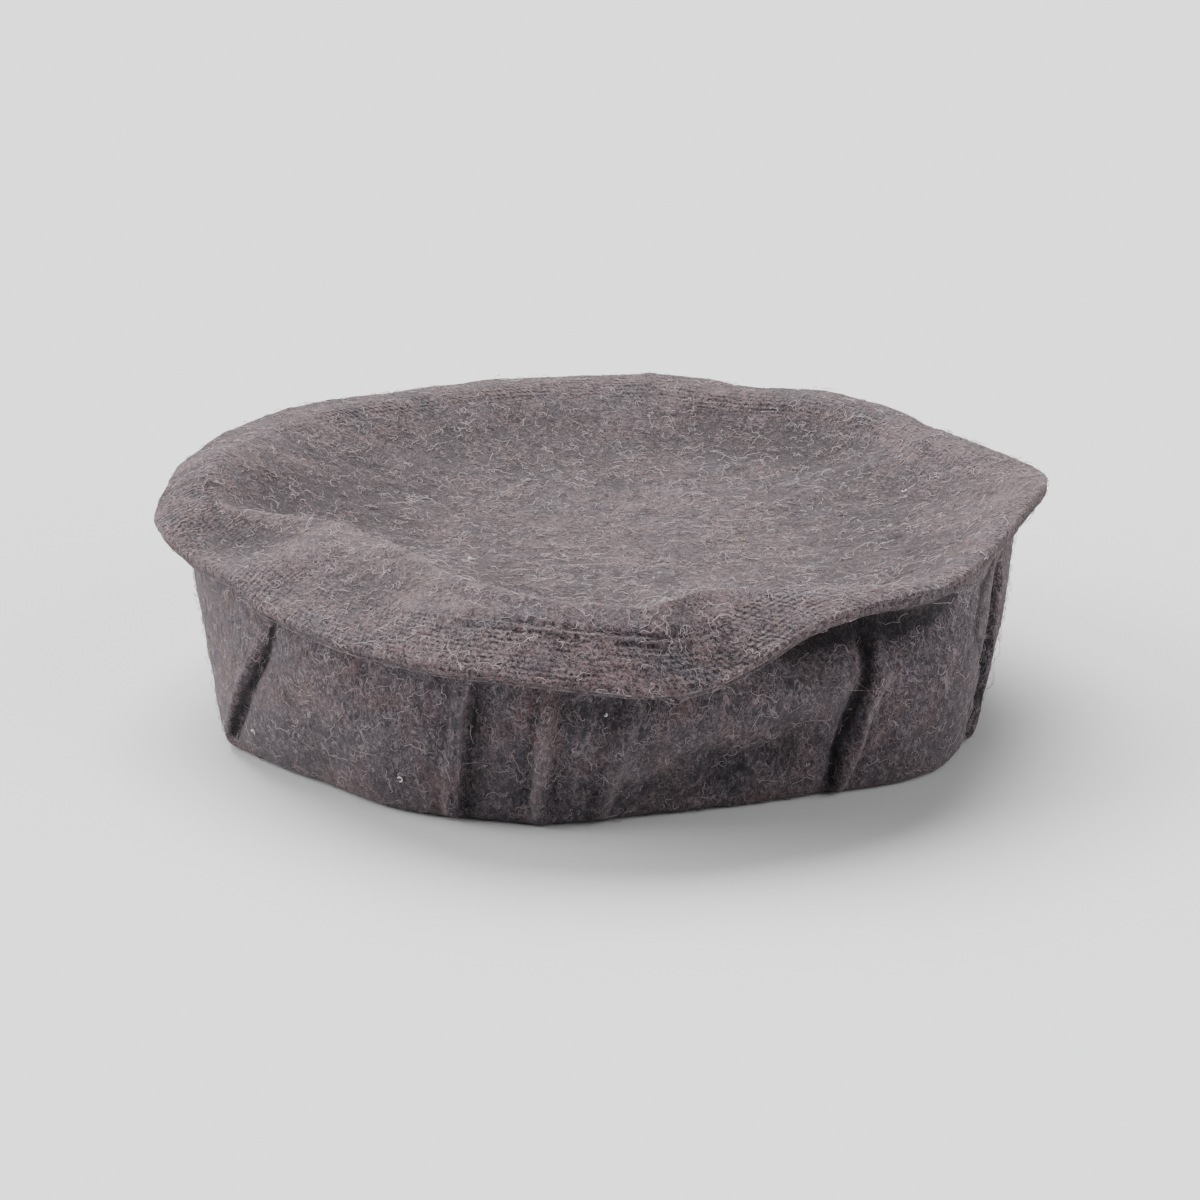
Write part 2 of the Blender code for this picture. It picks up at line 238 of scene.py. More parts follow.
# Both pieces of the cap start from the shape that the cut and sewn cloth holds. It is made
# smooth, then given the small dents and the nap that handled wool has.
REFINE_LEVELS = 2
DENTS = ((14.0 * MM, 0.45 * MM), (5.0 * MM, 0.25 * MM), (1.9 * MM, 0.20 * MM))
PUFF = 0.10 * MM
SMOOTHING_ROUNDS = 14
FULL_HOLLOW = 0.9 * MM
RING_STEPS = 180
RING_POINTS = 2000

# Where the cloth settled: places seen from above and moves, all in mm. A pull is full at the
# height of the rim and nothing at the foot.
Pull = namedtuple("Pull", "x y reach move_x move_y rise")
PULLS = (
    Pull(-124, -13, 15, -1.2, -1.0, -2.6),
    Pull(-88, 85, 26, 0.0, 0.0, -1.0),
    Pull(8, 121, 24, 0.0, 0.0, -1.5),
    Pull(35, 117, 7, 0.0, 0.0, 1.0),
    Pull(95, 73, 9, 0.0, 0.0, -1.3),
)
PULL_FULL_HEIGHT = 40.0 * MM


def placed(name, data):
    """A new object in the scene, from a mesh, light or camera."""
    thing = bpy.data.objects.new(name, data)
    bpy.context.scene.collection.objects.link(thing)
    return thing


def cloth_copy(node, name):
    """A smooth fine copy of a CAD node as a new object."""
    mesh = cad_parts[node].data.copy()
    mesh.name = name
    mesh.materials.clear()
    build = bmesh.new()
    build.from_mesh(mesh)
    bmesh.ops.remove_doubles(build, verts=build.verts, dist=0.01 * MM)
    bmesh.ops.join_triangles(
        build,
        faces=build.faces,
        angle_face_threshold=math.radians(60),
        angle_shape_threshold=math.radians(180),
    )
    build.to_mesh(mesh)
    build.free()
    piece = placed(name, mesh)
    smooth = piece.modifiers.new("smooth", "SUBSURF")
    smooth.levels = REFINE_LEVELS
    smooth.render_levels = REFINE_LEVELS
    applied(piece)
    set_points(piece.data, settled(points_of(piece.data)))
    return piece


def applied(piece):
    """The piece with its modifiers made into its mesh."""
    graph = bpy.context.evaluated_depsgraph_get()
    mesh = bpy.data.meshes.new_from_object(piece.evaluated_get(graph))
    piece.modifiers.clear()
    old = piece.data
    piece.data = mesh
    bpy.data.meshes.remove(old)
    mesh.name = piece.name
    mesh.shade_smooth()
    return piece


def bell(distances, width):
    """1 at no distance, falling smoothly to about a third at the width."""
    return np.exp(-((distances / width) ** 2))


def settled(points):
    """The points of the cloth, moved by the pulls that it settled into after it was sewn."""
    moved = points.copy()
    for pull in PULLS:
        apart = np.linalg.norm(points[:, :2] - np.array((pull.x, pull.y)) * MM, axis=1)
        share = bell(apart, pull.reach * MM) * np.clip(points[:, 2] / PULL_FULL_HEIGHT, 0, 1)
        moved += share[:, None] * np.array((pull.move_x, pull.move_y, pull.rise)) * MM
    return moved


def points_of(mesh):
    """The places of a mesh's points."""
    points = np.empty(len(mesh.vertices) * 3, np.float32)
    mesh.vertices.foreach_get("co", points)
    return points.reshape(-1, 3).astype(float)


def set_points(mesh, points):
    """Moves a mesh's points to new places."""
    mesh.vertices.foreach_set("co", points.astype(np.float32).ravel())
    mesh.update()


def normals_of(mesh):
    """The outward directions at a mesh's points."""
    normals = np.empty(len(mesh.vertices) * 3, np.float32)
    mesh.vertex_normals.foreach_get("vector", normals)
    return normals.reshape(-1, 3).astype(float)


def raise_points(mesh, heights):
    """Moves each point of a mesh along its normal."""
    set_points(mesh, points_of(mesh) + normals_of(mesh) * heights[:, None])


def azimuths_of(points):
    """The angles of some points round the cap, in degrees: 0 at the right, -90 at the front."""
    return np.degrees(np.arctan2(points[:, 1], points[:, 0]))


def radii_of(points):
    """How far some points are from the upright line through the cap's middle."""
    return np.hypot(points[:, 0], points[:, 1])


def handled(points):
    """The heights of the small dents at some points of the cloth."""
    heights = np.full(len(points), PUFF)
    for size, rise in DENTS:
        heights += rise * np.array([noise.noise(Vector(p / size)) for p in points])
    return heights


def keep_number(mesh, name, values):
    """Keeps a number for each point of a mesh, for its material and its hairs."""
    attribute = mesh.attributes.new(name, "FLOAT", "POINT")
    attribute.data.foreach_set("value", np.asarray(values, np.float32))


def hollows_of(mesh):
    """How deep each point lies in a hollow, from 1, down to -1 for the top of a ridge."""
    pairs = np.empty(len(mesh.edges) * 2, np.int32)
    mesh.edges.foreach_get("vertices", pairs)
    ends = np.concatenate([pairs[::2], pairs[1::2]])
    others = np.concatenate([pairs[1::2], pairs[::2]])
    points = points_of(mesh)
    links_of_point = np.bincount(ends, minlength=len(points))
    smooth = points.copy()
    for _ in range(SMOOTHING_ROUNDS):
        sums = [np.bincount(ends, smooth[others, k], len(points)) for k in range(3)]
        smooth = np.stack(sums, axis=1) / links_of_point[:, None]
    depths = ((smooth - points) * normals_of(mesh)).sum(1)
    return np.clip(depths / FULL_HOLLOW, -1.0, 1.0)


def ring_of(points):
    """The closed line along the outermost points of a piece, and the length along it."""
    azimuths, radii = azimuths_of(points), radii_of(points)
    steps = ((azimuths + 180.0) / 360.0 * RING_STEPS).astype(int) % RING_STEPS
    outermost = np.zeros(RING_STEPS, int)
    outermost[steps[np.argsort(radii)]] = np.argsort(radii)
    even = np.linspace(-180.0, 180.0, RING_POINTS, endpoint=False)
    found, at = points[outermost], azimuths[outermost]
    line = np.stack([np.interp(even, at, found[:, k], period=360.0) for k in range(3)], axis=1)
    lengths = np.linalg.norm(np.roll(line, -1, axis=0) - line, axis=1)
    return line, np.concatenate([[0.0], np.cumsum(lengths)[:-1]])


def nearest_on(line, points):
    """For each point, the index of the nearest point of a line, and how far it is."""
    finder = kdtree.KDTree(len(line))
    for index, place in enumerate(line):
        finder.insert(place, index)
    finder.balance()
    found = [finder.find(place) for place in points]
    return np.array([item[1] for item in found]), np.array([item[2] for item in found])


# The side band is a long strip of the cloth. Its top edge is turned outward as the lower layer
# of the rim, and tucks are folded and stitched down its height. Each tuck is a thin raised rib,
# and the cloth beside it is pulled in.

# Where the wall sinks in below the lifted rim: degrees round the cap, and mm.
UnderRim = namedtuple("UnderRim", "azimuth height half_angle half_height depth")
UNDER_RIM = (
    UnderRim(-54, 48, 13, 8, 8.0),
    UnderRim(-80, 36, 14, 6, 1.5),
)
UNDER_RIM_INSET = 6.0 * MM

# The tucks' ribs and grooves, in mm: a rise below 0 is a groove. A shade above 0 is painted shade
# and below 0 a painted highlight. Each line runs down the wall from the rim, but the last, which
# lies along the rim's underside, where it paints the shadow under the lifted rim.
Crease = namedtuple("Crease", "width rise shade line")
CREASES = (
    Crease(1.4, -0.8, 1.3, (
        (70.5, -78.7, 43.0), (68.0, -80.5, 31.9), (64.2, -80.2, 23.2), (60.7, -80.2, 13.5),
        (59.5, -82.2, 4.3),
    )),
    Crease(0.9, 0.7, -2.5, (
        (75.0, -78.6, 32.5), (69.4, -82.5, 25.6), (66.8, -81.4, 12.6), (61.4, -82.2, 2.3),
    )),
    Crease(1.4, -0.8, 1.7, (
        (103.9, -48.0, 54.3), (101.1, -54.5, 49.7), (99.7, -58.9, 38.2), (101.6, -50.4, 25.8),
        (102.5, -45.0, 12.9),
    )),
    Crease(1.0, 0.6, -2.0, (
        (108.4, -34.1, 47.0), (105.9, -42.6, 42.3), (105.5, -43.9, 32.6),
    )),
    Crease(1.0, 0.5, -2.0, (
        (-36.0, -106.3, 41.3), (-37.6, -106.2, 34.3), (-38.6, -104.8, 23.8), (-39.6, -102.7, 12.8),
        (-39.7, -100.7, 5.1),
    )),
    Crease(3.2, -0.5, 0.35, (
        (-31.6, -106.5, 41.6), (-32.5, -105.5, 30.7), (-33.5, -104.0, 20.0), (-35.8, -99.5, 6.4),
    )),
    Crease(1.2, 0.5, -2.0, (
        (-15.9, -110.7, 29.5), (-16.8, -108.9, 18.7), (-18.7, -106.4, 8.7), (-18.7, -105.7, 5.0),
    )),
    Crease(1.0, -0.6, 1.6, (
        (-88.0, -76.6, 49.0), (-88.7, -72.3, 43.2), (-91.5, -67.0, 33.5), (-96.1, -61.8, 24.1),
        (-100.2, -54.9, 13.0), (-102.1, -50.6, 6.0),
    )),
    Crease(4.2, 0.0, 3.0, (
        (50.3, -86.6, 44.7), (58.1, -83.0, 46.4), (66.6, -81.7, 47.2), (74.6, -78.4, 48.0),
        (82.8, -74.5, 49.2), (89.2, -70.1, 51.0),
    )),
)
CREASE_STEPS = 60
FINE_REACH = 3.0 * MM
# Painted shade along the foot at the front, where the wall meets the floor: how dark, how high.
FOOT_SHADE = 1.6
FOOT_SHADE_HEIGHT = 2.0 * MM
FOOT_CLEAR = 1.5 * MM
FOOT_LOWEST = 0.05 * MM

# How many hairs grow on the side that doesn't show and in the dark folds, as shares of the rest,
# how dark a fold is where they thin out, and how far a place has to face out or down to show.
HIDDEN_HAIR_SHARE = 0.12
FOLD_HAIR_SHARE = 0.05
FOLD_HAIR_SHADE = 1.5
FACES_OUT = 0.1
FACES_DOWN = -0.3


def crease_distances(points, crease):
    """How far each point is from the line of a crease."""
    knots = np.array(crease.line) * MM
    places = np.linspace(0, len(knots) - 1, CREASE_STEPS)
    steps = np.arange(len(knots))
    line = np.stack([np.interp(places, steps, knots[:, k]) for k in range(3)], axis=1)
    return nearest_on(line, points)[1]


def outward_share(mesh):
    """How far each point of a mesh faces away from the cap's middle, as seen from above."""
    return (normals_of(mesh) * points_of(mesh))[:, :2].sum(1)


def subdivide_where(mesh, chosen, cuts):
    """Divides the edges whose two ends are chosen."""
    build = bmesh.new()
    build.from_mesh(mesh)
    build.verts.ensure_lookup_table()
    edges = [edge for edge in build.edges if all(chosen[end.index] for end in edge.verts)]
    bmesh.ops.subdivide_edges(build, edges=edges, cuts=cuts, use_grid_fill=True)
    build.to_mesh(mesh)
    build.free()
    mesh.shade_smooth()


band = cloth_copy("side_band", "wool_side_band")
coarse_points = points_of(band.data)
crease_away = np.min([crease_distances(coarse_points, crease) for crease in CREASES], axis=0)
subdivide_where(band.data, (crease_away < FINE_REACH) & (outward_share(band.data) > 0), 1)
band_points = points_of(band.data)
outer_side = outward_share(band.data) > 0
crease_rise = np.zeros(len(band_points))
# Painted shade for the band's colour at the foot's front, and painted shade and highlight along the
# creases and under the lifted rim.
to_front = np.clip(-band_points[:, 1] / radii_of(band_points), 0, 1)
crease_shade = FOOT_SHADE * to_front**3 * bell(band_points[:, 2], FOOT_SHADE_HEIGHT)
for crease in CREASES:
    nearness = bell(crease_distances(band_points, crease), crease.width * MM) * outer_side
    crease_rise += nearness * crease.rise * MM
    crease_shade += nearness * crease.shade
band_azimuth = azimuths_of(band_points)
band_inset = nearest_on(ring_of(band_points)[0], band_points)[1]
inside_rim = np.clip(band_inset / UNDER_RIM_INSET - 0.7, 0, 1)
for hollow in UNDER_RIM:
    away = (band_azimuth - hollow.azimuth) / hollow.half_angle
    below = (band_points[:, 2] / MM - hollow.height) / hollow.half_height
    sunk = hollow.depth * MM * np.exp(-(away**2) - below**2) * inside_rim
    band_points[:, :2] *= (1 - sunk / radii_of(band_points))[:, None]
set_points(band.data, band_points)
raise_points(band.data, handled(band_points) + crease_rise)
resting = points_of(band.data)
resting[:, 2] = np.maximum(resting[:, 2], FOOT_LOWEST)
set_points(band.data, resting)
# The band's colour gets painted shade in its hollows and painted highlight on its ridges, with the
# creases' and foot's painted shade added.
keep_number(band.data, "hollow", np.clip(hollows_of(band.data), -0.5, 1.0) + crease_shade)
band_facing = normals_of(band.data)
band_outward = (band_facing[:, :2] * band_points[:, :2]).sum(1) / radii_of(band_points)
off_floor = band_points[:, 2] > FOOT_CLEAR
band_shows = (band_outward > FACES_OUT) | ((band_facing[:, 2] < FACES_DOWN) & off_floor)
band_shares = np.where(band_shows, 1.0, HIDDEN_HAIR_SHARE) * off_floor
band_shares *= np.clip(FOLD_HAIR_SHADE - crease_shade, FOLD_HAIR_SHARE, 1.0)
keep_number(band.data, "hair_share", band_shares)
band_wool = wool_cloth("fulled_wool_band", lengthwise=0.65, grit=3.0, warmth=0.25, with_rows=False)
band.data.materials.append(band_wool)
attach(band, "root")
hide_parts("side_band")

# The crown is a round piece of the same cloth. Its edge lies on the turned edge of the side
# band, and both are quilted together as the rim. Two lines of tighter stitching with a cord
# between them show at the front, where the rim meets the dished part.
SEAM_GROOVES = (16.4 * MM, 19.4 * MM)
SEAM_GROOVE_WIDTH = 0.7 * MM
SEAM_GROOVE_DEPTH = 0.5 * MM
SEAM_CORD_WIDTH = 0.9 * MM
SEAM_CORD_RISE = 0.3 * MM
SEAM_DRIFT = 4.5 * MM
SEAM_FROM = -119.0
SEAM_TO = -72.0
SEAM_FADE = 8.0
SEAM_STITCH = 3.4 * MM
SEAM_WEAR = 9.0 * MM
SEAM_FINE_REACH = 3.0 * MM
SEAM_FINE_ANGLE = 3.0
RIM_HAIR_SHARE = 0.6
DISH_HAIR_FROM = 19.0 * MM
DISH_HAIR_FADE = 5.0 * MM
# How much of the folds' painted shade the crown takes, how much darker the dish is drawn, and where
# the painted highlight along the front crest lies, in degrees and mm.
CROWN_HOLLOW_SHARE = 0.8
DISH_SHADE = 0.10
CREST_FROM = -128.0
CREST_TO = -66.0
CREST_INSET = 21.5 * MM
CREST_WIDTH = 2.8 * MM
CREST_HIGHLIGHT = 1.3


def share_in_arc(azimuths, first, last):
    """1 at the angles well between two others, and fading to 0 at both."""
    past_first = np.clip((azimuths - first) / SEAM_FADE, 0, 1)
    before_last = np.clip((last - azimuths) / SEAM_FADE, 0, 1)
    return past_first * before_last


crown = cloth_copy("crown", "wool_crown")
whole_crown = points_of(crown.data)
rim_line, rim_along = ring_of(whole_crown)
_, coarse_inset = nearest_on(rim_line, whole_crown)
coarse_azimuth = azimuths_of(whole_crown)
by_seam = coarse_azimuth > SEAM_FROM - SEAM_FINE_ANGLE
by_seam &= coarse_azimuth < SEAM_TO + SEAM_FINE_ANGLE
by_seam &= coarse_inset > SEAM_GROOVES[0] - SEAM_DRIFT - SEAM_FINE_REACH
by_seam &= coarse_inset < SEAM_GROOVES[1] + SEAM_FINE_REACH
subdivide_where(crown.data, by_seam & (normals_of(crown.data)[:, 2] > 0), 2)
crown_points = points_of(crown.data)
azimuth = azimuths_of(crown_points)
rim_index, from_edge = nearest_on(rim_line, crown_points)
along_edge = rim_along[rim_index]
keep_number(crown.data, "from_edge", from_edge)
keep_number(crown.data, "along_edge", along_edge)
heights = handled(crown_points)
top_side = normals_of(crown.data)[:, 2] > 0.0

# Each stitch of the seam pulls the cloth in, and wear has evened some of them out.
seam_wear = np.array([noise.noise(Vector(point / SEAM_WEAR)) for point in crown_points])
stitches = 0.65 + 0.35 * np.sin(along_edge * 2 * math.pi / SEAM_STITCH) + 0.9 * seam_wear
seam_share = share_in_arc(azimuth, SEAM_FROM, SEAM_TO) * top_side * stitches
across_seam = from_edge + SEAM_DRIFT * np.clip((azimuth - SEAM_FROM) / (SEAM_TO - SEAM_FROM), 0, 1)
for inset in SEAM_GROOVES:
    heights -= SEAM_GROOVE_DEPTH * seam_share * bell(across_seam - inset, SEAM_GROOVE_WIDTH)
cord_inset = sum(SEAM_GROOVES) / 2
heights += SEAM_CORD_RISE * seam_share * bell(across_seam - cord_inset, SEAM_CORD_WIDTH)

# The rim has fewer hairs than the dish. The crown's folds get painted shade and its ridges a
# painted highlight, the dish is drawn a little darker, and a painted highlight runs along the
# crest at the front.
in_dish = np.clip((from_edge - DISH_HAIR_FROM) / DISH_HAIR_FADE, 0, 1)
on_top = RIM_HAIR_SHARE + (1 - RIM_HAIR_SHARE) * in_dish
keep_number(crown.data, "hair_share", np.where(top_side, on_top, HIDDEN_HAIR_SHARE))
raise_points(crown.data, heights)
folds = hollows_of(crown.data)
folds = np.where(folds > 0, folds * CROWN_HOLLOW_SHARE, folds) + DISH_SHADE * in_dish
along_crest = share_in_arc(azimuth, CREST_FROM, CREST_TO) * top_side
along_crest = along_crest * bell(from_edge - CREST_INSET, CREST_WIDTH)
keep_number(crown.data, "hollow", folds - CREST_HIGHLIGHT * along_crest)
crown_wool = wool_cloth("fulled_wool_crown", lengthwise=1.0, grit=5.4, warmth=0.75, with_rows=True)
crown.data.materials.append(crown_wool)
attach(crown, "root")
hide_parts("crown")

# The two layers of the rim are sewn over at their edge and fulled together, so the edge is one
# soft roll with no gap in it. It is thickest at the right, where the rim is lifted.
ROLL_HALF_HEIGHT = 1.55 * MM
ROLL_OUTER_WIDTH = 1.25 * MM
ROLL_INNER_WIDTH = 2.5 * MM
ROLL_INSET = 0.95 * MM
ROLL_BELOW = 1.2 * MM
ROLL_THICKEST = -50.0
ROLL_THICK_SPAN = 15.0
ROLL_GROWTH = 0.65
ROLL_STEPS = 1000
ROLL_SIDES = 16
ROLL_SMOOTHINGS = 12
ROLL_SHADE = 0.15
INNER_RING = (4.0 * MM, 6.0 * MM)
ROLL_ROWS_TO = 6.0

# The roll follows the rim's edge, and its inner side turns to a ring of the crown's points.
edge = rim_line[:: RING_POINTS // ROLL_STEPS]
inner_points = crown_points[(from_edge > INNER_RING[0]) & (from_edge < INNER_RING[1]) & top_side]
inner_index, _ = nearest_on(inner_points, edge)
inwards = inner_points[inner_index] - edge
for _ in range(ROLL_SMOOTHINGS):
    edge = (np.roll(edge, 1, axis=0) + edge + np.roll(edge, -1, axis=0)) / 3
    inwards = (np.roll(inwards, 1, axis=0) + inwards + np.roll(inwards, -1, axis=0)) / 3
forwards = np.roll(edge, -1, axis=0) - np.roll(edge, 1, axis=0)
forwards /= np.linalg.norm(forwards, axis=1, keepdims=True)
inwards -= forwards * (inwards * forwards).sum(1, keepdims=True)
inwards /= np.linalg.norm(inwards, axis=1, keepdims=True)
upwards = np.cross(forwards, inwards)
growth = ROLL_GROWTH * bell(azimuths_of(edge) - ROLL_THICKEST, ROLL_THICK_SPAN)
thickness = (1 + growth)[:, None]
middle = edge + (inwards * ROLL_INSET - upwards * ROLL_BELOW) * thickness
around_roll = np.linspace(0, 2 * math.pi, ROLL_SIDES, endpoint=False)
roll_width = np.where(np.cos(around_roll) > 0, ROLL_OUTER_WIDTH, ROLL_INNER_WIDTH)
roll_reach = roll_width * np.cos(around_roll)
roll_points = (
    middle[:, None]
    - inwards[:, None] * (roll_reach * thickness)[:, :, None]
    + upwards[:, None] * (np.sin(around_roll) * ROLL_HALF_HEIGHT * thickness)[:, :, None]
)
roll_faces = [
    (
        i * ROLL_SIDES + j,
        i * ROLL_SIDES + (j + 1) % ROLL_SIDES,
        (i + 1) % len(edge) * ROLL_SIDES + (j + 1) % ROLL_SIDES,
        (i + 1) % len(edge) * ROLL_SIDES + j,
    )
    for i in range(len(edge))
    for j in range(ROLL_SIDES)
]
roll_mesh = bpy.data.meshes.new("rolled_edge")
roll_mesh.from_pydata(roll_points.reshape(-1, 3), [], roll_faces)
roll_build = bmesh.new()
roll_build.from_mesh(roll_mesh)
bmesh.ops.recalc_face_normals(roll_build, faces=roll_build.faces)
roll_build.to_mesh(roll_mesh)
roll_build.free()
roll_mesh.shade_smooth()
rolled_edge = placed("rolled_edge", roll_mesh)
raise_points(roll_mesh, handled(points_of(roll_mesh)) - PUFF)
# Painted shade on the roll: a little all round, and more on its underside where it is thick, under
# the lifted rim.
roll_shade = ROLL_SHADE + np.maximum(-np.sin(around_roll), 0) * (thickness - 1)
keep_number(roll_mesh, "hollow", roll_shade.ravel())
roll_index, _ = nearest_on(rim_line, points_of(roll_mesh))
keep_number(roll_mesh, "along_edge", rim_along[roll_index])
roll_inset = np.linspace(0.0, ROLL_ROWS_TO, ROLL_SIDES) * MM
keep_number(roll_mesh, "from_edge", np.tile(roll_inset, len(edge)))
roll_mesh.materials.append(crown_wool)
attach(rolled_edge, "root")

# Loose hairs lie all over the cloth. They are single curled fibres of the wool, pale grey or
# brown, that worked out of the mat. Most lie flat, and some stand off in loops.
HAIR_SIDES = 3
HAIR_LOWEST = 0.2 * MM
HAIR_WANDER = 3.4 * MM
HAIR_DARK = (0.10, 0.082, 0.090, 1.0)
HAIR_GREY = (0.22, 0.178, 0.184, 1.0)
HAIR_PALE = (0.43, 0.36, 0.37, 1.0)
HAIR_PALEST = (0.58, 0.50, 0.505, 1.0)
HAIR_BROWN = (0.34, 0.20, 0.13, 1.0)

# Each kind's piece of cloth, hairs in a square mm, points along a hair, shortest and longest, the
# hair's radius and how far it stands off, all in mm, how much it curls, and its seed.
Hairs = namedtuple("Hairs", "name cloth per_mm2 points shortest longest radius lift curl seed")
HAIR_KINDS = (
    Hairs("crown_hairs", crown, 0.024, 16, 4.0, 13.0, 0.060, 0.5, 6.5, 3),
    Hairs("crown_curls", crown, 0.056, 10, 3.0, 7.0, 0.063, 0.3, 10.5, 23),
    Hairs("crown_fuzz", crown, 0.058, 10, 2.5, 6.0, 0.062, 0.35, 9.0, 11),
    Hairs("band_hairs", band, 0.016, 16, 4.0, 16.0, 0.058, 0.5, 6.5, 5),
    Hairs("band_fuzz", band, 0.046, 10, 2.0, 6.0, 0.056, 0.35, 9.0, 17),
)


def hair_material():
    """Wool fibres: each has its own tone, from dark grey through pale grey to brown."""
    material = bpy.data.materials.new("wool_hair")
    material.use_nodes = True
    tree = material.node_tree
    shader = tree.nodes["Principled BSDF"]
    tone = add_node(tree, "ShaderNodeAttribute", attribute_name="tone").outputs["Fac"]
    ramp = add_node(tree, "ShaderNodeValToRGB")
    ramp.color_ramp.elements[0].position = 0.0
    ramp.color_ramp.elements[0].color = HAIR_DARK
    ramp.color_ramp.elements[1].position = 1.0
    ramp.color_ramp.elements[1].color = HAIR_BROWN
    for position, colour in ((0.30, HAIR_GREY), (0.55, HAIR_PALE), (0.96, HAIR_PALEST)):
        ramp.color_ramp.elements.new(position).color = colour
    tree.links.new(tone, ramp.inputs["Fac"])
    place = add_node(tree, "ShaderNodeTexCoord").outputs["Object"]
    patchy = spread(tree, cloth_noise(tree, place, 0.3, 2.0), 1.4, 0.1)
    colour = blend_colours(tree, patchy, ramp.outputs["Color"], CLOTH_WARM)
    tree.links.new(colour, shader.inputs["Base Color"])
    shader.inputs["Roughness"].default_value = 0.7
    shader.inputs["Specular IOR Level"].default_value = 0.3
    return material


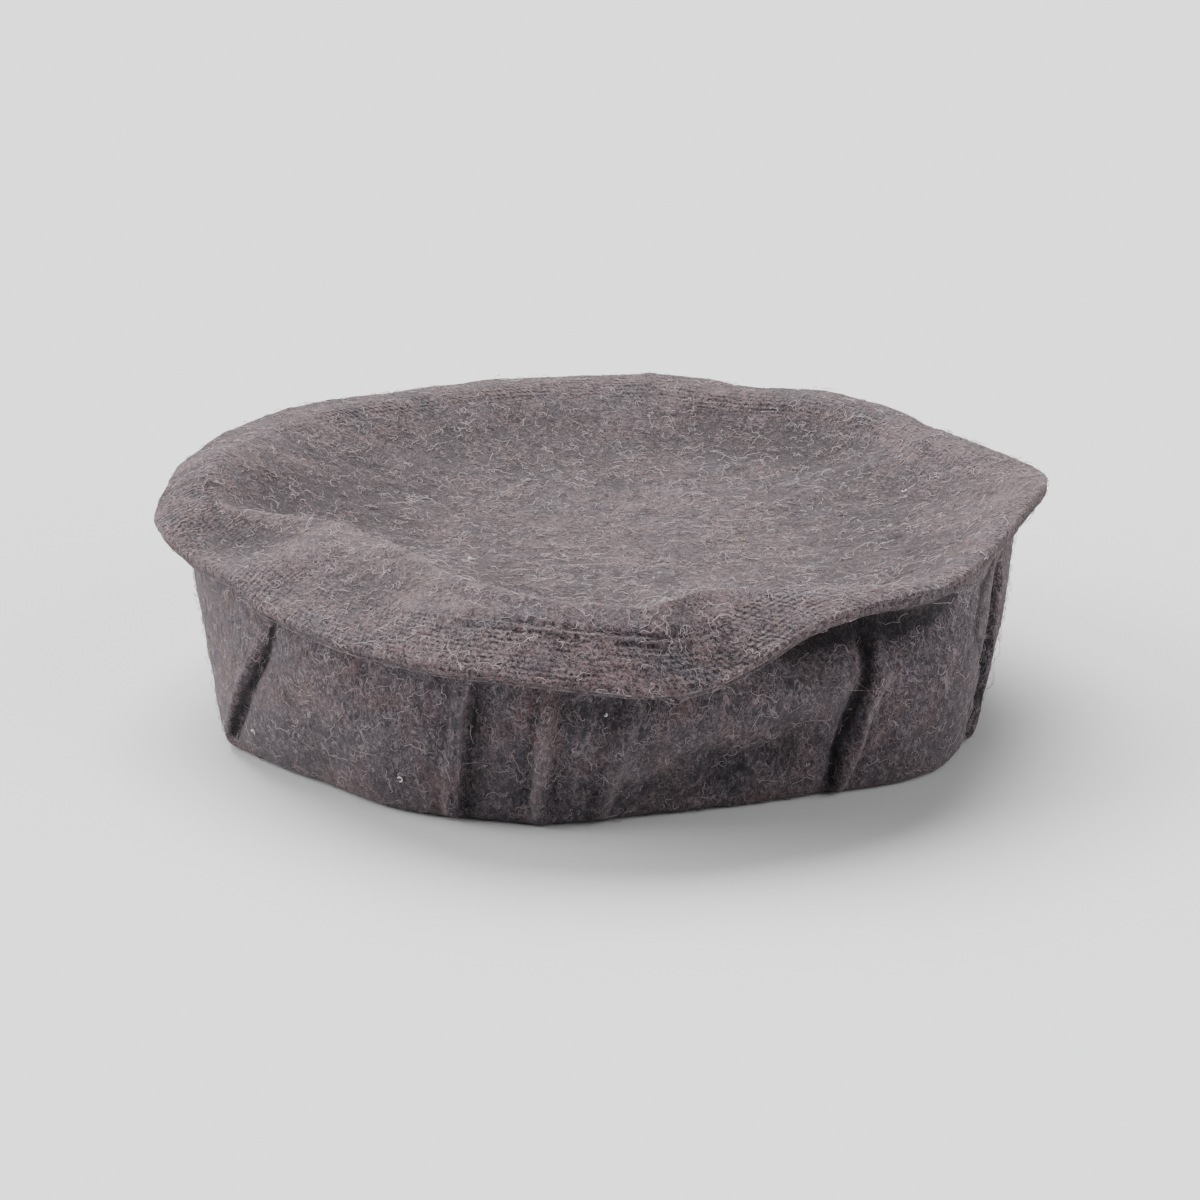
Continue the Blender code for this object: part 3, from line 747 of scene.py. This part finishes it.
def hair_tree(material):
    """The nodes that grow curled hairs on a piece of cloth."""
    tree = bpy.data.node_groups.new("loose_hairs", "GeometryNodeTree")
    tree.interface.new_socket("Geometry", in_out="INPUT", socket_type="NodeSocketGeometry")
    for name in ("Per square metre", "Shortest", "Longest", "Thickness", "Lift", "Curl"):
        tree.interface.new_socket(name, in_out="INPUT", socket_type="NodeSocketFloat")
    for name in ("Points", "Seed"):
        tree.interface.new_socket(name, in_out="INPUT", socket_type="NodeSocketInt")
    tree.interface.new_socket("Geometry", in_out="OUTPUT", socket_type="NodeSocketGeometry")
    links = tree.links
    given = add_node(tree, "NodeGroupInput").outputs
    result = add_node(tree, "NodeGroupOutput").inputs["Geometry"]

    def named(name, kind="FLOAT"):
        node = add_node(tree, "GeometryNodeInputNamedAttribute", data_type=kind)
        node.inputs["Name"].default_value = name
        return node.outputs["Attribute"]

    def store(geometry, name, value, kind="FLOAT"):
        node = add_node(tree, "GeometryNodeStoreNamedAttribute", data_type=kind, domain="POINT")
        node.inputs["Name"].default_value = name
        links.new(geometry, node.inputs["Geometry"])
        links.new(value, node.inputs["Value"])
        return node.outputs["Geometry"]

    def vector_math(operation, first, second=None, scale=None):
        node = add_node(tree, "ShaderNodeVectorMath", operation=operation)
        links.new(first, node.inputs[0])
        if second is not None:
            links.new(second, node.inputs[1])
        if scale is not None:
            links.new(scale, node.inputs["Scale"])
        return node.outputs["Vector"]

    def chance(low, high, extra_seed):
        """A random number for each root, from low to high, numbers or outputs."""
        node = add_node(tree, "FunctionNodeRandomValue", data_type="FLOAT")
        feed(tree, node.inputs[2], low)
        feed(tree, node.inputs[3], high)
        links.new(math_node(tree, "ADD", given["Seed"], extra_seed), node.inputs["Seed"])
        return node.outputs[1]

    roots = add_node(tree, "GeometryNodeDistributePointsOnFaces", distribute_method="RANDOM")
    links.new(given["Geometry"], roots.inputs["Mesh"])
    density = math_node(tree, "MULTIPLY", given["Per square metre"], named("hair_share"))
    links.new(density, roots.inputs["Density"])
    links.new(given["Seed"], roots.inputs["Seed"])
    facing = roots.outputs["Normal"]
    turn = add_node(tree, "FunctionNodeRandomValue", data_type="FLOAT_VECTOR")
    turn.inputs[0].default_value = (-1.0, -1.0, -1.0)
    turn.inputs[1].default_value = (1.0, 1.0, 1.0)
    links.new(given["Seed"], turn.inputs["Seed"])
    ahead = vector_math("NORMALIZE", vector_math("CROSS_PRODUCT", facing, turn.outputs[0]))
    aside = vector_math("CROSS_PRODUCT", facing, ahead)
    root_place = add_node(tree, "GeometryNodeInputPosition").outputs[0]
    seeded = store(roots.outputs["Points"], "root", root_place, "FLOAT_VECTOR")
    seeded = store(seeded, "ahead", ahead, "FLOAT_VECTOR")
    seeded = store(seeded, "aside", aside, "FLOAT_VECTOR")
    seeded = store(seeded, "reach", chance(given["Shortest"], given["Longest"], 1))
    seeded = store(seeded, "phase", chance(0.0, 100.0, 2))
    seeded = store(seeded, "tone", chance(0.0, 1.0, 3))
    seeded = store(seeded, "loft", math_node(tree, "POWER", chance(0.0, 1.0, 4), 3.0))

    line = add_node(tree, "GeometryNodeCurvePrimitiveLine")
    count = add_node(tree, "GeometryNodeResampleCurve")
    links.new(line.outputs["Curve"], count.inputs["Curve"])
    links.new(given["Points"], count.inputs["Count"])
    grown = add_node(tree, "GeometryNodeInstanceOnPoints")
    links.new(seeded, grown.inputs["Points"])
    links.new(count.outputs["Curve"], grown.inputs["Instance"])
    single = add_node(tree, "GeometryNodeRealizeInstances")
    links.new(grown.outputs["Instances"], single.inputs["Geometry"])

    share = add_node(tree, "GeometryNodeSplineParameter").outputs["Factor"]
    wander = add_node(tree, "ShaderNodeTexNoise", noise_dimensions="1D")
    wander.inputs["Scale"].default_value = 1.0
    wander.inputs["Detail"].default_value = 1.0
    run = math_node(tree, "MULTIPLY", share, math_node(tree, "DIVIDE", named("reach"), HAIR_WANDER))
    links.new(math_node(tree, "ADD", run, named("phase")), wander.inputs["W"])
    swing = math_node(tree, "SUBTRACT", wander.outputs["Fac"], 0.5)
    heading = math_node(tree, "MULTIPLY", swing, given["Curl"])
    steps = math_node(tree, "SUBTRACT", given["Points"], 1.0)
    step = math_node(tree, "DIVIDE", named("reach"), steps)
    forward = math_node(tree, "MULTIPLY", math_node(tree, "COSINE", heading), step)
    sideways = math_node(tree, "MULTIPLY", math_node(tree, "SINE", heading), step)
    stride = vector_math(
        "ADD",
        vector_math("SCALE", named("ahead", "FLOAT_VECTOR"), scale=forward),
        vector_math("SCALE", named("aside", "FLOAT_VECTOR"), scale=sideways),
    )
    curve_of = add_node(tree, "GeometryNodeCurveOfPoint").outputs["Curve Index"]
    walk = add_node(tree, "GeometryNodeAccumulateField", data_type="FLOAT_VECTOR", domain="POINT")
    links.new(stride, walk.inputs["Value"])
    links.new(curve_of, walk.inputs["Group ID"])
    laid = add_node(tree, "GeometryNodeSetPosition")
    links.new(single.outputs["Geometry"], laid.inputs["Geometry"])
    walked = vector_math("ADD", named("root", "FLOAT_VECTOR"), walk.outputs["Trailing"])
    links.new(walked, laid.inputs["Position"])

    here = add_node(tree, "GeometryNodeInputPosition").outputs[0]
    on_cloth = add_node(tree, "GeometryNodeProximity", target_element="FACES")
    links.new(given["Geometry"], on_cloth.inputs["Geometry"])
    outward = add_node(tree, "GeometryNodeSampleNearestSurface", data_type="FLOAT_VECTOR")
    links.new(given["Geometry"], outward.inputs["Mesh"])
    links.new(add_node(tree, "GeometryNodeInputNormal").outputs[0], outward.inputs["Value"])
    links.new(here, outward.inputs["Sample Position"])
    arch = math_node(tree, "SINE", math_node(tree, "MULTIPLY", share, 2.6))
    highest = math_node(tree, "MULTIPLY", given["Lift"], 4.0)
    loops = math_node(tree, "MULTIPLY", math_node(tree, "MULTIPLY", arch, named("loft")), highest)
    height = math_node(tree, "ADD", math_node(tree, "MULTIPLY", given["Lift"], 0.25), loops)
    lying = add_node(tree, "GeometryNodeSetPosition")
    links.new(laid.outputs["Geometry"], lying.inputs["Geometry"])
    above_floor = add_node(tree, "ShaderNodeVectorMath", operation="MAXIMUM")
    above_floor.inputs[1].default_value = (-1.0, -1.0, HAIR_LOWEST)
    raised = vector_math("SCALE", outward.outputs["Value"], scale=height)
    links.new(vector_math("ADD", on_cloth.outputs["Position"], raised), above_floor.inputs[0])
    links.new(above_floor.outputs["Vector"], lying.inputs["Position"])

    section = add_node(tree, "GeometryNodeCurvePrimitiveCircle")
    section.inputs["Resolution"].default_value = HAIR_SIDES
    links.new(given["Thickness"], section.inputs["Radius"])
    tube = add_node(tree, "GeometryNodeCurveToMesh")
    tube.inputs["Fill Caps"].default_value = True
    links.new(lying.outputs["Geometry"], tube.inputs["Curve"])
    links.new(section.outputs["Curve"], tube.inputs["Profile Curve"])
    whole = add_node(tree, "GeometryNodeRealizeInstances")
    links.new(tube.outputs["Mesh"], whole.inputs["Geometry"])
    coloured = add_node(tree, "GeometryNodeSetMaterial")
    coloured.inputs["Material"].default_value = material
    links.new(whole.outputs["Geometry"], coloured.inputs["Geometry"])
    links.new(coloured.outputs["Geometry"], result)
    return tree


hair_nodes = hair_tree(hair_material())
for kind in HAIR_KINDS:
    hairs = placed(kind.name, kind.cloth.data.copy())
    grow = hairs.modifiers.new("grow", "NODES")
    grow.node_group = hair_nodes
    sizes = {
        "Per square metre": kind.per_mm2 / MM**2,
        "Shortest": kind.shortest * MM,
        "Longest": kind.longest * MM,
        "Thickness": kind.radius * MM,
        "Lift": kind.lift * MM,
        "Curl": kind.curl,
        "Points": kind.points,
        "Seed": kind.seed,
    }
    for socket in hair_nodes.interface.items_tree:
        if socket.in_out == "INPUT" and socket.name in sizes:
            grow[socket.identifier] = sizes[socket.name]
    applied(hairs)
    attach(hairs, "root")

# A few bright specks of lint cling to the cloth. Each is a tiny curl of some other fibre, laid
# on the cloth nearest to the place given here in mm.
Lint = namedtuple("Lint", "x y z width")
LINT = (
    Lint(-36.6, -18.2, 44.3, 1.8),
    Lint(84.7, 25.8, 49.4, 1.1),
    Lint(-0.2, -110.1, 34.5, 0.7),
    Lint(-55.3, -95.5, 11.2, 1.4),
    Lint(-95.8, -60.9, 11.0, 1.3),
)
LINT_RADIUS = 0.17 * MM
LINT_LIFT = 0.25 * MM
LINT_TURN = 4.5
LINT_STEPS = 9
LINT_SIDES = 5
LINT_COLOUR = (0.78, 0.72, 0.74, 1.0)

cloth_points = np.concatenate([points_of(crown.data)[top_side], points_of(band.data)[outer_side]])
cloth_facing = np.concatenate([normals_of(crown.data)[top_side], normals_of(band.data)[outer_side]])
lint_places = [Vector((speck.x, speck.y, speck.z)) * MM for speck in LINT]
lint_at, _ = nearest_on(cloth_points, lint_places)
round_lint = np.linspace(0, 2 * math.pi, LINT_SIDES, endpoint=False)
lint_build = bmesh.new()
for number, (speck, index) in enumerate(zip(LINT, lint_at)):
    facing = cloth_facing[index]
    across = np.cross(facing, (1.0, 0.0, 0.0))
    across /= np.linalg.norm(across)
    onward = np.cross(facing, across)
    rings = []
    for turn in np.linspace(0, LINT_TURN, LINT_STEPS) + number:
        outward = math.cos(turn) * across + math.sin(turn) * onward
        centre = cloth_points[index] + facing * LINT_LIFT + outward * speck.width * MM / 2
        spokes = [math.cos(a) * outward + math.sin(a) * facing for a in round_lint]
        rings.append([lint_build.verts.new(centre + LINT_RADIUS * spoke) for spoke in spokes])
    for first, second in zip(rings, rings[1:]):
        for k in range(LINT_SIDES):
            after = (k + 1) % LINT_SIDES
            lint_build.faces.new((first[k], first[after], second[after], second[k]))
    lint_build.faces.new(rings[0])
    lint_build.faces.new(rings[-1])
bmesh.ops.recalc_face_normals(lint_build, faces=lint_build.faces)
lint_mesh = bpy.data.meshes.new("lint")
lint_build.to_mesh(lint_mesh)
lint_build.free()
lint_mesh.shade_smooth()
lint = placed("lint", lint_mesh)
lint_fibre = bpy.data.materials.new("pale_lint")
lint_fibre.use_nodes = True
lint_shader = lint_fibre.node_tree.nodes["Principled BSDF"]
lint_shader.inputs["Base Color"].default_value = LINT_COLOUR
lint_shader.inputs["Roughness"].default_value = 0.8
lint_mesh.materials.append(lint_fibre)
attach(lint, "root")

# The cap stands on a plain pale floor. A broad soft light comes from above and behind, and
# weaker ones come from both sides, so the crown is bright and the front of the band is dark.
# The lamps' angles are in degrees, round the cap and above the floor.
FLOOR_SIZE = 12.0
FLOOR_COLOUR = (0.70, 0.70, 0.70, 1.0)
floor_mesh = bpy.data.meshes.new("floor")
floor_build = bmesh.new()
bmesh.ops.create_grid(floor_build, x_segments=1, y_segments=1, size=FLOOR_SIZE / 2)
floor_build.to_mesh(floor_mesh)
floor_build.free()
floor = placed("floor", floor_mesh)
floor_paint = bpy.data.materials.new("pale_floor")
floor_paint.use_nodes = True
floor_shader = floor_paint.node_tree.nodes["Principled BSDF"]
floor_shader.inputs["Base Color"].default_value = FLOOR_COLOUR
floor_shader.inputs["Roughness"].default_value = 1.0
floor_shader.inputs["Specular IOR Level"].default_value = 0.0
floor_mesh.materials.append(floor_paint)

ROOM_COLOUR = (0.90, 0.96, 1.0, 1.0)
ROOM_STRENGTH = 0.22
LAMP_SPREAD = 50.0
Lamp = namedtuple("Lamp", "name azimuth elevation strength")
LAMPS = (
    Lamp("back_light", 105.0, 53.0, 7.2),
    Lamp("left_light", 173.0, 28.0, 3.7),
    Lamp("right_light", -15.0, 30.0, 1.6),
)
for lamp in LAMPS:
    light = bpy.data.lights.new(lamp.name, "SUN")
    light.energy = lamp.strength
    light.angle = math.radians(LAMP_SPREAD)
    around, up = math.radians(lamp.azimuth), math.radians(lamp.elevation)
    level = math.cos(up)
    towards = Vector((math.cos(around) * level, math.sin(around) * level, math.sin(up)))
    holder = placed(lamp.name, light)
    holder.rotation_mode = "QUATERNION"
    holder.rotation_quaternion = towards.to_track_quat("Z", "Y")

room = bpy.data.worlds.new("soft_room")
room.use_nodes = True
room.node_tree.nodes["Background"].inputs["Color"].default_value = ROOM_COLOUR
room.node_tree.nodes["Background"].inputs["Strength"].default_value = ROOM_STRENGTH
bpy.context.scene.world = room

# The camera stands where the photograph was taken from, 20 degrees above the floor.
CAMERA_TARGET = Vector((-2.0, -3.0, 27.0)) * MM
CAMERA_DISTANCE = 1.2
CAMERA_ELEVATION = math.radians(20.0)
CAMERA_LENS = 127.8
camera_data = bpy.data.cameras.new("camera")
camera_data.lens = CAMERA_LENS
camera_data.clip_end = 100.0
camera = placed("camera", camera_data)
backwards = Vector((0.0, -math.cos(CAMERA_ELEVATION), math.sin(CAMERA_ELEVATION)))
camera.location = CAMERA_TARGET + backwards * CAMERA_DISTANCE
camera.rotation_mode = "QUATERNION"
camera.rotation_quaternion = backwards.to_track_quat("Z", "Y")
bpy.context.scene.camera = camera

bpy.context.view_layer.update()
